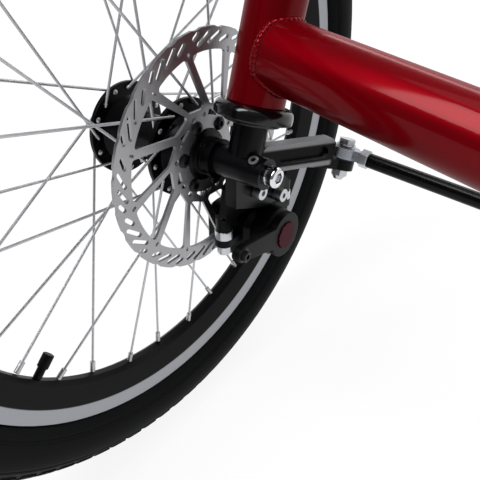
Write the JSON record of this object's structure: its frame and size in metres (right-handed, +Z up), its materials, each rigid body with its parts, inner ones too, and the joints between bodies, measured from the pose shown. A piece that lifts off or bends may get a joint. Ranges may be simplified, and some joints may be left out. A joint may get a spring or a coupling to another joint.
{
  "type": "recumbent trike front wheel corner",
  "caption": "Steered disc-brake front wheel of a recumbent trike on its knuckle and kingpin, with steering head, cross boom stub, caliper and tie rod.",
  "frame": {"origin": "centre of the cross boom's inboard end, on the axis of its socket", "axes": "+X outboard, towards the vehicle's right, along the wheel's axle; +Y forwards; +Z up"},
  "size_m": [0.3963, 0.5104, 0.5104],
  "materials": {
    "red_paint": "gloss",
    "black_alloy": "satin",
    "black_gloss": "gloss",
    "grey_forging": "satin",
    "stainless": "satin",
    "chrome": "polished",
    "rubber": "matte",
    "red_plastic": "matte",
    "black_plastic": "matte"
  },
  "bodies": {
    "frame": {"cross_boom": "red_paint", "head_tube": "red_paint", "upper_cup": "black_gloss", "lower_cup": "black_gloss"},
    "knuckle": {"kingpin": "stainless", "crown_race": "black_gloss", "bearing_cover": "black_gloss", "clamp_collar": "black_alloy", "top_cap": "black_alloy", "knuckle": "black_alloy", "axle": "chrome", "steering_arm": "black_alloy", "arm_bolt": "stainless", "outer_ball": "stainless", "caliper_bracket": "black_alloy", "bracket_bolts": "stainless", "caliper_body": "black_alloy", "caliper_bolts": "stainless", "caliper_washers": "stainless", "brake_pads": "stainless", "pad_knob": "red_plastic", "caliper_lever": "black_alloy"},
    "wheel": {"hub_shell": "black_alloy", "hub_cap": "black_plastic", "rotor": "stainless", "spokes": "stainless", "nipples": "stainless", "rim": "black_alloy", "tyre": "rubber", "valve": "black_plastic"},
    "tie_rod": {"tie_rod": "black_alloy", "jam_nuts": "stainless", "outer_rod_end": "grey_forging", "inner_rod_end": "grey_forging", "inner_ball": "stainless"}
  },
  "joints": [
    {"name": "steer", "type": "hinge", "parent": "frame", "child": "knuckle", "pos_m": [0.27764, -0.01627, -0.03483], "axis": [-0.0268, -0.2772, 0.9604], "range_deg": [-30, 30]},
    {"name": "wheel_spin", "type": "hinge", "parent": "knuckle", "child": "wheel", "pos_m": [0.35054, -0.01287, -0.03483], "axis": [1, 0, 0], "continuous": true},
    {"name": "tie_rod_swivel", "type": "hinge", "parent": "knuckle", "child": "tie_rod", "pos_m": [0.2416, -0.0855, -0.04103], "axis": [-0.0268, -0.2772, 0.9604], "range_deg": [-30, 30]}
  ],
  "couplings": [
    {"joint": "tie_rod_swivel", "follows": "steer", "ratio": -1}
  ]
}
